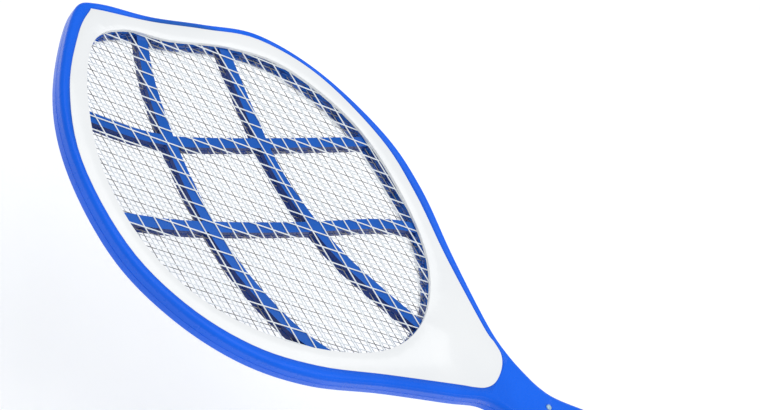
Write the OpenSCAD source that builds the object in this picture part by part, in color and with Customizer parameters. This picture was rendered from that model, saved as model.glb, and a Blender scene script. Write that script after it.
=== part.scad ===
// Racket-shaped electric fly swatter: a two-part blue shell holds three nets, and the handle
// holds the board, the two cells and the controls. It lies on its back, tip towards +Y.

/* [Head] */
// Greatest width of the head
head_w = 204; // [180:1:225]
// Length of the head, from the tip to the start of the handle
head_l = 347; // [310:1:385]
// Thickness of the head, from the back face to the front bezel
rim_t = 13.5; // [12:0.5:18]
// Width of the blue lip around the bezel
lip_w = 4; // [3:0.5:5]
// Thickness of each white bezel
bezel_t = 2.2; // [1.8:0.1:2.8]
// Width of each stiffening rib
rib_w = 6.5; // [5:0.5:9]

/* [Nets] */
// Width of a net cell, across the head
cell_w = 9.1; // [8:0.1:14]
// Length of a net cell, along the head
cell_l = 19.1; // [16:0.1:28]
// Width of a net strand
strand_w = 1.1; // [0.8:0.1:1.6]
// Thickness of a net, two crossed layers of strands
net_t = 0.7; // [0.5:0.1:0.8]
// Angle the nets are turned clockwise from the handle's axis
net_turn = 1; // [-3:0.5:3]

/* [Handle] */
// Length of the handle with cells 50.5 long; longer cells lengthen it by as much
handle_l = 178; // [172:1:210]
// Width of the handle where it meets the head
neck_w = 31; // [29:1:38]
// Width of the grip
grip_w = 39; // [38:1:44]
// Thickness of the grip
grip_t = 25; // [24:0.5:30]
// Wall of the moulded shells
wall = 2; // [1.6:0.1:2.2]
// Length of the slope from the head's front face up to the grip
ramp_l = 42; // [34:1:46]
// Radius of the hanging hole in the handle's end cap
hang_r = 3; // [2:0.25:4]

/* [Controls] */
// Radius of the push button's cap
button_r = 6; // [4.5:0.25:7]
// How far the button goes down
button_travel = 1.5; // [1:0.1:2]
// How far the slide switch's knob moves
slide_travel = 4; // [3:0.5:5]
// Radius of the indicator lens
lens_r = 1.8; // [1.4:0.1:2.4]

/* [Power] */
// Radius of one cell
cell_r = 7.25; // [5.2:0.05:7.3]
// Length of one cell
cell_len = 50.5; // [44:0.1:66]

/* [Hidden] */
$fn = 48;

// Clearances
gap = 0.1;         // between pieces fixed together
move_gap = 0.3;    // between a moving piece and its neighbours
pin_gap = 0.05;    // radial, between a hinge pin and its bore
net_pocket = 0.8;  // depth of the pocket that holds a net

// ---- Curves ------------------------------------------------------------------------------

// Point at t on the span from b to c of a smooth curve through a, b, c and d
function span(a, b, c, d, t) =
    0.5 * (2 * b + (c - a) * t + (2 * a - 5 * b + 4 * c - d) * t * t
        + (3 * b - a - 3 * c + d) * t * t * t);

// Smooth curve through the points p, n steps a span, ends included
function open_curve(p, n) = let (m = len(p)) [
    for (i = [0 : m - 2], k = [0 : n - 1])
        span(i > 0 ? p[i - 1] : 2 * p[0] - p[1], p[i], p[i + 1],
            i < m - 2 ? p[i + 2] : 2 * p[m - 1] - p[m - 2], k / n),
    p[m - 1]];

// Smooth ring through the points p, n steps a span
function closed_curve(p, n) = let (m = len(p)) [
    for (i = [0 : m - 1], k = [0 : n - 1])
        span(p[(i + m - 1) % m], p[i], p[(i + 1) % m], p[(i + 2) % m], k / n)];

// Ease from 0 to 1 as s goes from 0 to 1
function ease(s) = let (t = min(1, max(0, s))) t * t * (3 - 2 * t);

function unit(v) = v / norm(v);

// The points p in the other order, and the points p mirrored left to right
function reversed(p) = [for (i = [len(p) - 1 : -1 : 0]) p[i]];
function mirrored(p) = [for (q = p) [-q[0], q[1]]];

// ---- Plan of the head and handle ---------------------------------------------------------
// Drawn for a head 204 wide and 347 long, then stretched to head_w and head_l. y is 0 where
// the head meets the handle.

kx = head_w / 204;
ky = head_l / 347;
function stretch(p) = [for (q = p) [q[0] * kx, q[1] * ky]];

// The sides from the neck up to the widest points; the left one is a little fuller
right_flank = stretch([[19, 21], [27.5, 42.5], [53, 82], [80, 119.5], [96.5, 157.5]]);
left_flank = stretch([[-18.5, 21], [-31, 40.5], [-56, 80], [-82, 118.5], [-97.5, 157.5]]);
// Over the top, from the left side's widest point, round the off-centre tip, to the right side's
crown = stretch([[-102, 201], [-94.5, 245.5], [-69, 292], [-35, 324], [13, 346], [28.5, 340],
    [47, 312.5], [69.5, 286.5], [92.5, 257], [102, 212]]);
neck = [[neck_w / 2, 0]];

head_curve = open_curve(concat(mirrored(neck), left_flank, crown, reversed(right_flank), neck), 6);
y_tip = max([for (p = head_curve) p[1]]);
y_end = -handle_l - (cell_len - 50.5);
// Moves the middle of the whole length to y = 0
y_mid = -(y_tip + y_end) / 2;

flare_l = 60;
end_r = 8;
function half_w(y) = neck_w / 2 + (grip_w - neck_w) / 2 * ease(-y / flare_l);
grip_side = concat(
    [for (i = [1 : 6]) [half_w(-flare_l * i / 6), -flare_l * i / 6]],
    [for (a = [0 : -15 : -90])
        [grip_w / 2 - end_r + end_r * cos(a), y_end + end_r + end_r * sin(a)]]);

// The window in the head, where the nets show
window_curve = closed_curve(stretch([[4, 326], [-29, 309], [-63, 276], [-84, 233], [-87.5, 187],
    [-72, 137], [-40, 94], [-3, 80.6], [36, 95.3], [67, 134], [85.5, 180], [84.5, 232], [67, 266],
    [41, 295], [25, 318]]), 6);
window_low = min([for (p = window_curve) p[1]]);

function total(v, i) = i < 0 ? 0 : v[i] + total(v, i - 1);
// +1 or -1, so that net_edge lies outside the window whichever way its points run
net_side = let (m = len(window_curve), area = [for (i = [0 : m - 1])
    let (a = window_curve[i], b = window_curve[(i + 1) % m]) a[0] * b[1] - a[1] * b[0]])
    total(area, m - 1) > 0 ? 1 : -1;
// The point d outside the window beside point i of its curve
function beside_window(i, d) =
    let (m = len(window_curve), t = unit(window_curve[(i + 1) % m] - window_curve[(i + m - 1) % m]))
        window_curve[i] + d * [t[1], -t[0]] * net_side;

module body_plan() {
    polygon(concat(head_curve, grip_side, reversed(mirrored(grip_side))));
}

module window_plan(grow = 0) {
    if (grow == 0) {
        polygon(window_curve);
    } else {
        offset(delta = grow) polygon(window_curve);
    }
}

// The bezel's outer edge, drawn for a lip 4 wide at its narrowest
bezel_curve = closed_curve(stretch([[-25, 45], [-51, 85], [-75.5, 122], [-91.5, 159], [-97, 201],
    [-90, 244], [-65.5, 289.5], [-32.5, 319], [1, 335], [19, 339], [24, 336.5], [43, 310],
    [66, 283.5], [88, 255], [97.5, 212], [90, 159.5], [73, 123.5], [47.3, 86],
    [22.8, 45.5], [18.3, 34.5], [14.6, 27.8], [8.5, 24.2], [0.5, 23], [-7, 24], [-13.5, 28], [-18.5, 34.5]]), 6);
module bezel_plan(shrink = 0) {
    grow = 4 - lip_w - shrink;
    if (grow == 0) {
        polygon(bezel_curve);
    } else {
        offset(delta = grow) polygon(bezel_curve);
    }
}

// ---- Ribs --------------------------------------------------------------------------------
// Two ribs fall to the right and two fall to the left, each a smooth curve.

rib_lines = [
    stretch([[-42, 312], [-22, 269], [9, 234], [90, 158]]),
    stretch([[-86, 268], [-56, 226], [-8.5, 175], [40, 128], [60, 98]]),
    stretch([[44, 318], [8, 287], [-26.5, 243], [-52.5, 195], [-64, 146], [-62, 108]]),
    stretch([[80, 286], [40, 233], [16, 197], [-0.5, 150], [-4.5, 110], [-5, 70]])];

// A band of width w along the curve c
function side_step(c, i, w) =
    let (t = unit(c[min(i + 1, len(c) - 1)] - c[max(i - 1, 0)])) c[i] + w * [-t[1], t[0]];
module band(c, w) {
    polygon(concat([for (i = [0 : len(c) - 1]) side_step(c, i, w / 2)],
        [for (i = [len(c) - 1 : -1 : 0]) side_step(c, i, -w / 2)]));
}

module ribs(z, h) {
    translate([0, 0, z]) linear_extrude(h) intersection() {
        union() {
            for (line = rib_lines) band(open_curve(line, 5), rib_w);
        }
        window_plan(1);
    }
}

// ---- Heights through the head ------------------------------------------------------------

part_z = rim_t / 2;                                // the parting plane of the two shells
front_floor = rim_t - bezel_t;                     // the front bezel sits on this
rear_floor = bezel_t;                              // the rear bezel reaches up to this
front_net_z = front_floor - net_pocket;
rear_net_z = rear_floor;
centre_net_z = part_z - net_pocket / 2;
net_margin = 2.5;                                  // nets reach this far past the window
pocket_margin = net_margin + 0.7;

// ---- Solid blocks ------------------------------------------------------------------------

// Height of the front face at y
function top_z(y) = rim_t + (grip_t - rim_t) * ease((-y - 8) / ramp_l);

// Lengthways section, inset by d all round
module side_profile(d) {
    far = 2 * head_l;
    nose = 4;
    offset(delta = -d) polygon(concat(
        [[far, 0], [y_end, 0]],
        [for (a = [180 : -30 : 90]) [y_end + nose + nose * cos(a), grip_t - nose + nose * sin(a)]],
        [for (i = [8 : -1 : 0]) let (y = -8 - ramp_l * i / 8) [y, top_z(y)]],
        [[far, rim_t]]));
}

// Crossways section of the grip, inset by d all round
front_round = 8;
rear_round = 3;
module cross_section(d) {
    x = grip_w / 2;
    offset(delta = -d) polygon(concat(
        [for (a = [0 : 15 : 90]) [x - front_round + front_round * cos(a),
            grip_t - front_round + front_round * sin(a)]],
        [for (a = [90 : 15 : 180]) [-x + front_round + front_round * cos(a),
            grip_t - front_round + front_round * sin(a)]],
        [for (a = [180 : 30 : 270]) [-x + rear_round + rear_round * cos(a),
            rear_round + rear_round * sin(a)]],
        [for (a = [270 : 30 : 360]) [x - rear_round + rear_round * cos(a),
            rear_round + rear_round * sin(a)]]));
}

// The handle as one block, inset by d
module handle_block(d) {
    intersection() {
        linear_extrude(grip_t) offset(delta = -d) body_plan();
        rotate([90, 0, 90]) linear_extrude(2 * head_w, center = true) side_profile(d);
        rotate([90, 0, 0]) linear_extrude(handle_l) cross_section(d);
    }
}

module head_block(z0, z1) {
    translate([0, 0, z0]) linear_extrude(z1 - z0) difference() {
        polygon(head_curve);
        window_plan();
    }
}

// The hollow between the outer wall and the ledge that carries the nets
module rim_channel(z0, z1) {
    translate([0, 0, z0]) linear_extrude(z1 - z0) difference() {
        offset(delta = -wall) polygon(head_curve);
        window_plan(4.5);
        translate([-head_w, -1]) square([2 * head_w, 9]);
    }
}

module above(z) { translate([-head_w, y_end - 1, z]) cube([2 * head_w, 3 * head_l, grip_t]); }
module below(z) { translate([-head_w, y_end - 1, z - grip_t]) cube([2 * head_w, 3 * head_l, grip_t]); }

// ---- Fasteners ---------------------------------------------------------------------------

screw_r = 1;
screw_head_r = 2.1;
screw_head_t = 1.1;
boss_r = 2.5;

// Screw places on the head: round the window, clear of the nets' pockets, and two in the neck
rim_places = concat([for (i = [10, 18, 26, 34, 52, 62, 70, 78]) beside_window(i, 5.9)],
    [[-10 * kx, 58 * ky], [10 * kx, 58 * ky]]);
peg_places = [for (i = [4, 14, 22, 30, 58, 66, 74]) beside_window(i, 4.6)];

bay_end = y_end + 19;                // the cell bay's end nearest the hanging hole
bay_top = bay_end + cell_len + 7.5;  // its end nearest the head
handle_places = [[-13.5, bay_top + 5], [13.5, bay_top + 5], [-12, y_end + 15], [12, y_end + 15]];

// The cap that closes the handle's end, with the hanging hole through it
cap_l = 12;
tongue_l = 4;
hang_y = y_end + 7.5;
cell_x = cell_r + 0.4;
cell_z = wall + 1.5 + cell_r;

module screw(z0, length) {
    cylinder(r = screw_head_r, h = screw_head_t);
    cylinder(r = screw_r, h = length);
    translate([0, 0, length]) cylinder(r1 = screw_r, r2 = 0.3, h = 0.8);
}

// ---- The two shells ----------------------------------------------------------------------

board_y = -9;                        // the board's end nearest the head
board_l = board_y - bay_top - 7;
board_w = 20;
board_t = 1.2;
board_z = 8.2;                       // the board's underside
board_top = board_z + board_t;
board_places = [[0, board_y - 26], [0, board_y - board_l + 3]];
lens_pos = [5, -14];
slide_y = -56;
button_y = -80;
slot_w = 3;
knob_w = 8;
knob_l = 10;
knob_recess = 1;

// The way from the handle to the nets for the leads; its far end reaches all three nets
channel_w = 12;
channel_end = window_low - 1.7;
module lead_channel() {
    translate([-channel_w / 2, -6, rear_floor + 1.2])
        cube([channel_w, channel_end + 6, front_floor - rear_floor - 2.4]);
    translate([-channel_w / 2, channel_end - 8, rear_net_z])
        cube([channel_w, 8, front_net_z + net_pocket - rear_net_z]);
}

// What the shells leave free for the end cap
module cap_room() {
    translate([-grip_w, y_end - 1, -1]) cube([2 * grip_w, cap_l + gap + 1, grip_t + 2]);
}

module front_housing() {
    color("royalblue") difference() {
        union() {
            difference() {
                union() {
                    head_block(part_z, rim_t);
                    intersection() {
                        handle_block(0);
                        above(part_z);
                    }
                }
                rim_channel(part_z - 1, front_floor - 1.2);
                intersection() {
                    handle_block(wall);
                    above(part_z - 1);
                }
                lead_channel();
            }
            ribs(centre_net_z + net_pocket, front_net_z - centre_net_z - net_pocket);
            for (p = rim_places) translate([p[0], p[1], part_z])
                cylinder(r = boss_r, h = front_floor - part_z - 0.6);
            for (p = handle_places) translate([p[0], p[1], part_z])
                cylinder(r = boss_r, h = grip_t - wall - part_z + 0.5);
            for (p = board_places) translate([p[0], p[1], board_top])
                cylinder(r = 2.2, h = top_z(p[1]) - wall - board_top + 0.5);
            // walls at the ends of the cell bay; the battery leads pass over the upper one
            for (y = [bay_top, bay_end - 1.5]) translate([-grip_w / 2 + 1, y, part_z])
                cube([grip_w - 2, 1.5, cell_z + 3.5 - part_z]);
        }
        // seat of the bezel, and its peg holes
        translate([0, 0, front_floor]) linear_extrude(bezel_t + 1) bezel_plan();
        for (p = peg_places) translate([p[0], p[1], front_floor - 1.2]) cylinder(r = 1.3, h = 2);
        // pockets of the front and centre nets
        translate([0, 0, front_net_z]) linear_extrude(net_pocket + 0.1) window_plan(pocket_margin);
        translate([0, 0, part_z - 1]) linear_extrude(net_pocket / 2 + 1) window_plan(pocket_margin);
        // pilot holes
        for (p = rim_places) translate([p[0], p[1], part_z - 1])
            cylinder(r = screw_r + pin_gap, h = 4.6);
        for (p = handle_places) translate([p[0], p[1], part_z - 1])
            cylinder(r = screw_r + pin_gap, h = 9);
        for (p = board_places) translate([p[0], p[1], board_top - 1])
            cylinder(r = 0.8 + pin_gap, h = 5);
        cap_room();
        // button hole, lens hole, and the knob's recess and slot
        translate([0, button_y, part_z]) cylinder(r = button_r + move_gap, h = grip_t);
        translate([lens_pos[0], lens_pos[1], part_z]) cylinder(r = lens_r + gap, h = grip_t);
        translate([-knob_w / 2 - move_gap, slide_y - knob_l / 2 - move_gap, grip_t - knob_recess])
            cube([knob_w + 2 * move_gap, knob_l + slide_travel + 2 * move_gap, grip_t]);
        translate([-slot_w / 2 - move_gap, slide_y - 2.5 - move_gap, part_z + 10])
            cube([slot_w + 2 * move_gap, 5 + slide_travel + 2 * move_gap, grip_t]);
    }
}

// Battery opening in the rear shell, and the cover's hinge
cover_w = 30.4;
hinge_y = bay_end + 2;
hinge_r = 1.6;
hinge_pin_r = 0.8;

module rear_housing() {
    color("royalblue") difference() {
        union() {
            difference() {
                union() {
                    head_block(0, part_z);
                    intersection() {
                        handle_block(0);
                        below(part_z);
                    }
                }
                rim_channel(rear_floor + 1.2, part_z + 1);
                intersection() {
                    handle_block(wall);
                    below(part_z + 1);
                }
                lead_channel();
            }
            ribs(rear_net_z + net_pocket, centre_net_z - rear_net_z - net_pocket);
            for (p = rim_places) translate([p[0], p[1], rear_floor + 0.6])
                cylinder(r = boss_r, h = part_z - rear_floor - 0.6);
            for (p = handle_places) translate([p[0], p[1], wall - 0.5])
                cylinder(r = boss_r, h = part_z - wall + 0.5);
            // hinge blocks
            for (s = [-1, 1]) translate([s * (cover_w / 2 + 1.5) - 1.2, hinge_y - 3, 0.5])
                cube([2.4, 6, 4]);
        }
        // seat of the rear bezel, pocket of the rear and centre nets
        translate([0, 0, -1]) linear_extrude(bezel_t + 1) bezel_plan();
        translate([0, 0, rear_net_z - 0.1]) linear_extrude(net_pocket + 0.1) window_plan(pocket_margin);
        translate([0, 0, centre_net_z]) linear_extrude(net_pocket) window_plan(pocket_margin);
        // screw holes
        for (p = rim_places) translate([p[0], p[1], 0]) cylinder(r = screw_r + 0.2, h = part_z + 1);
        for (p = handle_places) translate([p[0], p[1], -1]) {
            cylinder(r = screw_r + 0.2, h = part_z + 2);
            cylinder(r = screw_head_r + 0.2, h = 2.2);
        }
        cap_room();
        // battery opening
        translate([-cover_w / 2 - move_gap, hinge_y - hinge_r - move_gap, -1])
            cube([cover_w + 2 * move_gap, bay_top - hinge_y + hinge_r - 2 + move_gap, part_z + 2]);
        translate([0, hinge_y, hinge_r]) rotate([0, 90, 0])
            cylinder(r = hinge_pin_r + pin_gap, h = cover_w + 3.6, center = true);
    }
}

// A solid block with a tongue inside the shells; the tongue's notches sit round the screw bosses
module end_cap() {
    color("royalblue") difference() {
        union() {
            intersection() {
                handle_block(0);
                translate([-grip_w, y_end - 1, -1]) cube([2 * grip_w, cap_l + 1, grip_t + 2]);
            }
            intersection() {
                handle_block(wall + gap);
                translate([-grip_w, y_end + cap_l - 1, -1])
                    cube([2 * grip_w, tongue_l + 1, grip_t + 2]);
            }
        }
        translate([0, hang_y, -1]) cylinder(r = hang_r, h = grip_t + 2);
        for (p = handle_places) translate([p[0], p[1], -1])
            cylinder(r = boss_r + gap, h = grip_t + 2);
    }
}

// ---- Bezels and nets ---------------------------------------------------------------------

module front_bezel() {
    color("white") {
        translate([0, 0, front_floor]) linear_extrude(bezel_t) difference() {
            bezel_plan(gap);
            window_plan();
        }
        for (p = peg_places) translate([p[0], p[1], front_floor - 1]) cylinder(r = 1.2, h = 1.2);
    }
}

module rear_bezel() {
    color("white") difference() {
        linear_extrude(bezel_t) difference() {
            bezel_plan(gap);
            window_plan();
        }
        for (p = rim_places) translate([p[0], p[1], -1]) {
            cylinder(r = screw_r + 0.2, h = bezel_t + 2);
            cylinder(r = screw_head_r + 0.2, h = 2.2);
        }
    }
}

// Where the line through q along the unit vector d crosses the edge from a to b, as a
// distance along the line; undef if it misses
function crossing(q, d, a, b) =
    let (e = b - a, w = a - q, det = d[1] * e[0] - d[0] * e[1])
    abs(det) < 1e-9 ? undef :
    let (u = (d[0] * w[1] - d[1] * w[0]) / det)
    u < 0 || u >= 1 ? undef : (w[1] * e[0] - w[0] * e[1]) / det;

net_edge = let (m = len(window_curve)) [for (i = [0 : m - 1])
    let (t = unit(window_curve[(i + 1) % m] - window_curve[(i + m - 1) % m]))
        window_curve[i] + net_margin * [t[1], -t[0]] * net_side];

lattice_angle = atan2(cell_w, cell_l);
lattice_pitch = cell_w * cell_l / norm([cell_w, cell_l]);
net_centre = [4 * kx, 202 * ky];

// One layer of strands, leaning by angle from the Y axis
module strands(angle, h) {
    d = [sin(angle), cos(angle)];
    n = [cos(angle), -sin(angle)];
    for (k = [-22 : 22]) {
        q = net_centre + (k + 0.5) * lattice_pitch * n;
        hits = [for (i = [0 : len(net_edge) - 1])
            let (s = crossing(q, d, net_edge[i], net_edge[(i + 1) % len(net_edge)]))
                if (!is_undef(s)) s];
        if (len(hits) > 1 && max(hits) - min(hits) > 10)
            translate([q[0] + d[0] * min(hits), q[1] + d[1] * min(hits), 0]) rotate([0, 0, -angle])
                translate([-strand_w / 2, 0, 0]) cube([strand_w, max(hits) - min(hits), h]);
    }
}

module net(z) {
    translate([0, 0, z + (net_pocket - net_t) / 2]) {
        strands(net_turn + lattice_angle, net_t / 2);
        translate([0, 0, net_t / 2]) strands(net_turn - lattice_angle, net_t / 2);
    }
}

module front_net() { color("whitesmoke") net(front_net_z); }
module centre_net() { color("gray") net(centre_net_z); }
module rear_net() { color("whitesmoke") net(rear_net_z); }

module rim_screws() {
    color("silver") for (p = rim_places) translate([p[0], p[1], 1.2 - screw_head_t])
        screw(0, 9);
}

module handle_screws() {
    color("silver") for (p = handle_places) translate([p[0], p[1], 1.2 - screw_head_t])
        screw(0, 12.5);
}

// ---- Controls ----------------------------------------------------------------------------

tact_h = 4.6;
plunger_h = button_travel + 0.3;
button_out = 2.4;

module push_button() {
    foot = board_top + tact_h + plunger_h;
    color("orange") translate([0, button_y, 0]) {
        translate([0, 0, foot]) cylinder(r = 2.2, h = grip_t - wall - foot);
        translate([0, 0, grip_t - wall - 1.4]) cylinder(r = button_r + 1.4, h = 1.1);
        translate([0, 0, grip_t - wall - 0.4]) cylinder(r = button_r, h = wall + 0.4 + button_out);
    }
}

// The plunger's top part stands out of the switch; its stem moves in a bore in the switch
module button_plunger() {
    color("black") translate([0, button_y, board_top + 2.4])
        cylinder(r = 1.6, h = tact_h + plunger_h - 2.4);
}

module tact_switch() {
    color("dimgray") difference() {
        translate([-3, button_y - 3, board_top]) cube([6, 6, tact_h]);
        translate([0, button_y, board_top + 0.3]) cylinder(r = 1.9, h = tact_h);
    }
}

switch_h = 8;
module slide_knob() {
    z0 = board_top + switch_h + 0.5;
    color("orange") difference() {
        union() {
            translate([-knob_w / 2, slide_y - knob_l / 2, grip_t - knob_recess + 0.15])
                cube([knob_w, knob_l, 1.6]);
            for (k = [-1.5 : 1 : 1.5]) translate([-knob_w / 2 + 0.6, slide_y + k * 2 - 0.4, grip_t + 0.7])
                cube([knob_w - 1.2, 0.8, 0.7]);
            translate([-slot_w / 2, slide_y - 2.5, z0]) cube([slot_w, 5, grip_t - knob_recess - z0 + 0.5]);
        }
        translate([-0.8 - gap, slide_y - 1 - gap, z0 - 1]) cube([1.6 + 2 * gap, 2 + 2 * gap, 3]);
    }
}

module slide_actuator() {
    color("black") translate([-0.8, slide_y - 1, board_top + 2]) cube([1.6, 2, switch_h]);
}

module slide_switch() {
    color("silver") difference() {
        translate([-3.5, slide_y - 4, board_top]) cube([7, 8 + slide_travel, switch_h]);
        translate([-0.8 - move_gap, slide_y - 1 - move_gap, board_top + 1.7])
            cube([1.6 + 2 * move_gap, 2 + slide_travel + 2 * move_gap, switch_h]);
    }
}

module indicator_lens() {
    top = top_z(lens_pos[1]);
    color("lightskyblue") translate([lens_pos[0], lens_pos[1], top - wall - 0.3]) {
        cylinder(r = lens_r, h = wall + 0.5);
        translate([0, 0, wall + 0.5]) cylinder(r1 = lens_r, r2 = lens_r * 0.5, h = 0.6);
    }
}

module indicator_led() {
    color("white") translate([lens_pos[0], lens_pos[1], board_top])
        cylinder(r = 1.5, h = top_z(lens_pos[1]) - wall - 0.4 - board_top);
}

// ---- Board and its parts -----------------------------------------------------------------

module circuit_board() {
    color("seagreen") difference() {
        translate([-board_w / 2, board_y - board_l, board_z]) cube([board_w, board_l, board_t]);
        for (p = board_places) translate([p[0], p[1], board_z - 1]) cylinder(r = 1, h = board_t + 2);
    }
}

module board_screws() {
    color("silver") for (p = board_places) translate([p[0], p[1], board_z - screw_head_t]) {
        cylinder(r = 1.8, h = screw_head_t);
        cylinder(r = 0.8, h = board_t + screw_head_t + 3);
    }
}

// Ferrite core, two E halves seen as a ring round the coil, on the board's rear side
coil_y = -47;
module transformer_core() {
    color("dimgray") difference() {
        translate([-6.5, coil_y - 6, board_z - 6]) cube([13, 12, 5]);
        translate([-4.3, coil_y - 7, board_z - 5]) cube([8.6, 14, 3]);
    }
}

module transformer_coil() {
    color("goldenrod") {
        translate([-4.2, coil_y - 7.5, board_z - 4.9]) cube([8.4, 15, 2.8]);
        for (s = [-1, 1]) translate([-6, coil_y + s * 6.9 - 0.7, board_z - 5.4]) cube([12, 1.4, 5.4]);
    }
}

module hv_capacitor() {
    color("firebrick") translate([-7, -73, board_z - 5.5]) cube([14, 16, 5.5]);
}

module diodes() {
    color("black") for (k = [0 : 3]) translate([-6 + 4 * k, -20, board_top + 1.2]) rotate([90, 0, 0]) {
        cylinder(r = 1.1, h = 4);
        translate([0, 0, -1.5]) cylinder(r = 0.3, h = 7);
    }
}

module resistors() {
    color("tan") for (k = [0 : 2]) translate([-6 + 6 * k, -22, board_z - 1]) rotate([90, 0, 0]) {
        cylinder(r = 0.95, h = 5);
        translate([0, 0, -1.5]) cylinder(r = 0.3, h = 8);
    }
}

module transistor() {
    color("black") translate([-7, -45, board_top]) difference() {
        cylinder(r = 2.3, h = 4.8);
        translate([-3, -4.2, -1]) cube([6, 3, 7]);
    }
}

// ---- Cells, contacts and the battery cover -----------------------------------------------
// The cells lie side by side, nose to tail: each nose is on a plate and each flat end on a spring.

plate_t = 0.5;
nose_l = 1.2;
spring_l = bay_top - bay_end - cell_len - 2 * plate_t - 0.2;

module battery_cells() {
    for (s = [-1, 1]) translate([s * cell_x, (bay_top + bay_end) / 2, cell_z]) rotate([-90 * s, 0, 0])
        translate([0, 0, -(bay_top - bay_end) / 2 + plate_t + spring_l + 0.15]) {
            color("silver") cylinder(r = cell_r, h = cell_len - nose_l);
            color("gold") translate([0, 0, cell_len - nose_l]) cylinder(r = 2.7, h = nose_l);
        }
}

// A round wire of radius r along the points c; up is never along the wire
module wire(c, r, up, sides = 8) {
    m = len(c);
    points = [for (i = [0 : m - 1])
        let (t = unit(c[min(i + 1, m - 1)] - c[max(i - 1, 0)]), u = unit(cross(t, up)), v = cross(u, t))
        for (k = [0 : sides - 1]) c[i] + r * (u * cos(360 * k / sides) + v * sin(360 * k / sides))];
    faces = concat(
        [[for (k = [0 : sides - 1]) k]],
        [[for (k = [sides - 1 : -1 : 0]) (m - 1) * sides + k]],
        [for (i = [0 : m - 2], k = [0 : sides - 1])
            [i * sides + k, (i + 1) * sides + k, (i + 1) * sides + (k + 1) % sides]],
        [for (i = [0 : m - 2], k = [0 : sides - 1])
            [i * sides + k, (i + 1) * sides + (k + 1) % sides, i * sides + (k + 1) % sides]]);
    polyhedron(points, faces);
}

// Conical spring behind each cell's flat end
module contact_springs() {
    turns = 3.5;
    coil = [for (i = [0 : 35]) let (s = i / 35, r = 5 - 2 * s, a = 360 * turns * s)
        [r * cos(a), s * (spring_l - 0.9), r * sin(a)]];
    color("silver") for (s = [-1, 1])
        translate([s * cell_x, (bay_top + bay_end) / 2, cell_z]) rotate([0, 0, s > 0 ? 0 : 180])
            translate([0, -(bay_top - bay_end) / 2 + plate_t + 0.5, 0]) wire(coil, 0.35, [0, 1, 0], 6);
}

// One plate joins the cells at the bay's far end; two separate ones lead to the board
module contact_plates() {
    plate_h = 10;
    color("silver") {
        translate([-cell_x - 5, bay_end + 0.05, cell_z - plate_h / 2])
            cube([2 * cell_x + 10, plate_t, plate_h]);
        for (s = [-1, 1]) translate([s * cell_x - 5, bay_top - 0.05 - plate_t, cell_z - plate_h / 2])
            cube([10, plate_t, plate_h]);
    }
}

module battery_cover() {
    cover_t = wall;
    tail = bay_top - 2 - move_gap;
    color("royalblue") union() {
        difference() {
            translate([-cover_w / 2, hinge_y, 0]) cube([cover_w, tail - hinge_y, cover_t]);
            // finger hold
            translate([0, tail - 7, -4]) rotate([0, 90, 0]) cylinder(r = 4.9, h = 12, center = true);
        }
        translate([0, hinge_y, hinge_r]) rotate([0, 90, 0])
            cylinder(r = hinge_r, h = cover_w, center = true);
        translate([0, hinge_y, hinge_r]) rotate([0, 90, 0])
            cylinder(r = hinge_pin_r, h = cover_w + 3, center = true);
    }
}

// ---- Leads -------------------------------------------------------------------------------

lead_r = 0.6;
lead_end = channel_end - 0.2;
lead_z = board_top + lead_r - 0.1;   // leads are soldered to the board's front side

module hv_lead() {
    color("red") wire(open_curve([[-3, board_y - 2, lead_z], [-3, 0, lead_z - 0.6],
        [-3, 30 * ky, part_z], [-4, 60 * ky, part_z], [-5, lead_end, part_z]], 5), lead_r, [0, 0, 1]);
}

module ground_leads() {
    front_z = front_net_z + net_pocket / 2;
    rear_z = rear_net_z + net_pocket / 2;
    color("black") {
        wire(open_curve([[0, board_y - 2, lead_z], [0, 0, lead_z - 0.6],
            [0, 30 * ky, front_z - 1.8], [-1, lead_end - 8, front_z - 1.8],
            [-1.5, lead_end - 3, front_z - 0.4], [-1.5, lead_end, front_z - 0.2]], 5),
            lead_r, [1, 0, 0]);
        wire(open_curve([[3, board_y - 2, lead_z], [3, 0, lead_z - 0.6],
            [3, 30 * ky, rear_z + 1.8], [2, lead_end - 8, rear_z + 1.8],
            [1.5, lead_end - 3, rear_z + 0.6], [1.5, lead_end, rear_z + 0.4]], 5),
            lead_r, [1, 0, 0]);
    }
}

module battery_leads() {
    over = cell_z + 3.5 + lead_r + 0.2;
    end = board_y - board_l;
    color("red") for (s = [-1, 1])
        wire(open_curve([[s * 7, bay_top - 0.15, over], [s * 7, bay_top + 2.5, over],
            [s * 7, end - 1.5, lead_z + 2], [s * 7, end + 2, lead_z]], 5), lead_r, [1, 0, 0]);
}

// ---- Assembly ----------------------------------------------------------------------------

translate([0, y_mid, 0]) {
    front_housing();
    rear_housing();
    end_cap();
    front_bezel();
    rear_bezel();
    front_net();
    centre_net();
    rear_net();
    rim_screws();
    handle_screws();
    push_button();
    button_plunger();
    tact_switch();
    slide_knob();
    slide_actuator();
    slide_switch();
    indicator_lens();
    indicator_led();
    circuit_board();
    board_screws();
    transformer_core();
    transformer_coil();
    hv_capacitor();
    diodes();
    resistors();
    transistor();
    battery_cells();
    contact_springs();
    contact_plates();
    battery_cover();
    hv_lead();
    ground_leads();
    battery_leads();
}
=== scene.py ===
import math

import bmesh
import bpy
import numpy as np
from mathutils import Matrix, Vector
from mathutils.geometry import delaunay_2d_cdt


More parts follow.
